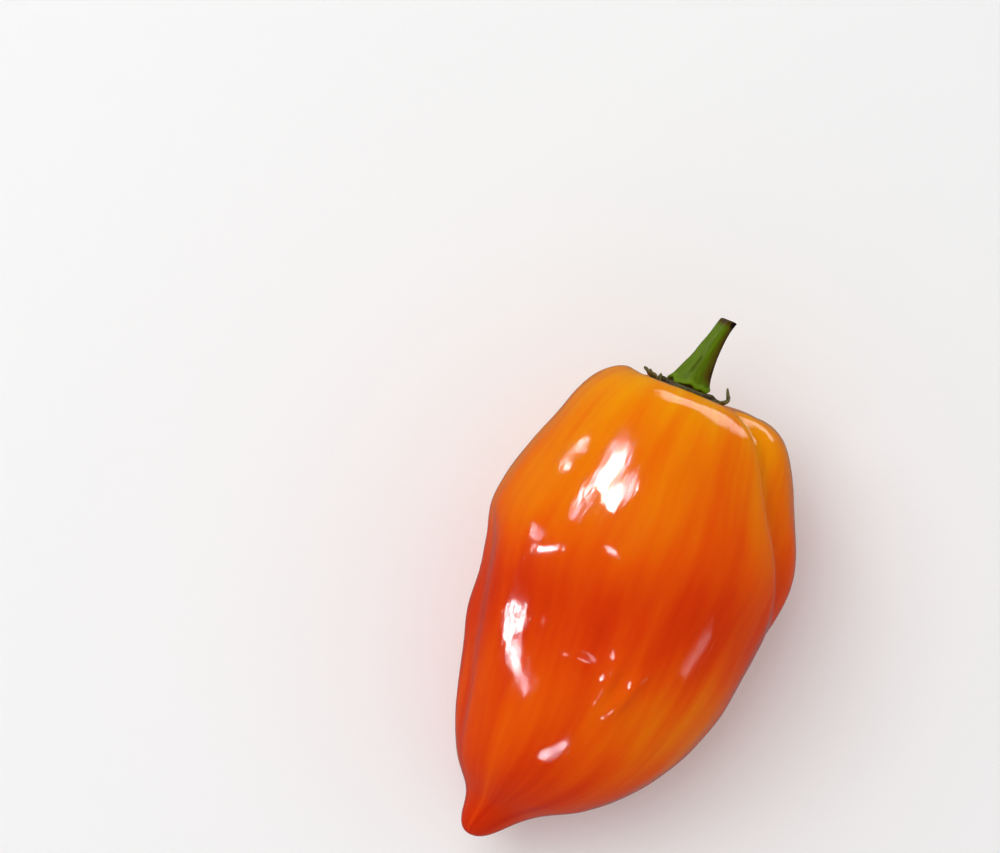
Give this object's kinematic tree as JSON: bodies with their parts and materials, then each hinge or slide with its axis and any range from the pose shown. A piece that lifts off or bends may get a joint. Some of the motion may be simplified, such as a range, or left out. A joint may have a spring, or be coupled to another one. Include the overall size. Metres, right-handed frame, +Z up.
{
  "type": "chilli pepper",
  "caption": "Ripe orange lantern-shaped chilli pepper with a green calyx and a short stem, lying on its side.",
  "frame": {"origin": "on the surface that the pepper lies on, under the middle of its bounding box", "axes": "+Z up, +Y along the pepper towards its stem end, +X to its right as seen from above with the stem end away"},
  "size_m": [0.036, 0.0658, 0.0338],
  "materials": {
    "skin": "glossy, waxy, orange running to red-orange at the tip",
    "calyx": "dull, dry, olive green",
    "stem": "satin, fibrous green"
  },
  "bodies": {
    "root": {"fruit": "skin", "calyx": "calyx", "stem": "stem"}
  },
  "joints": []
}
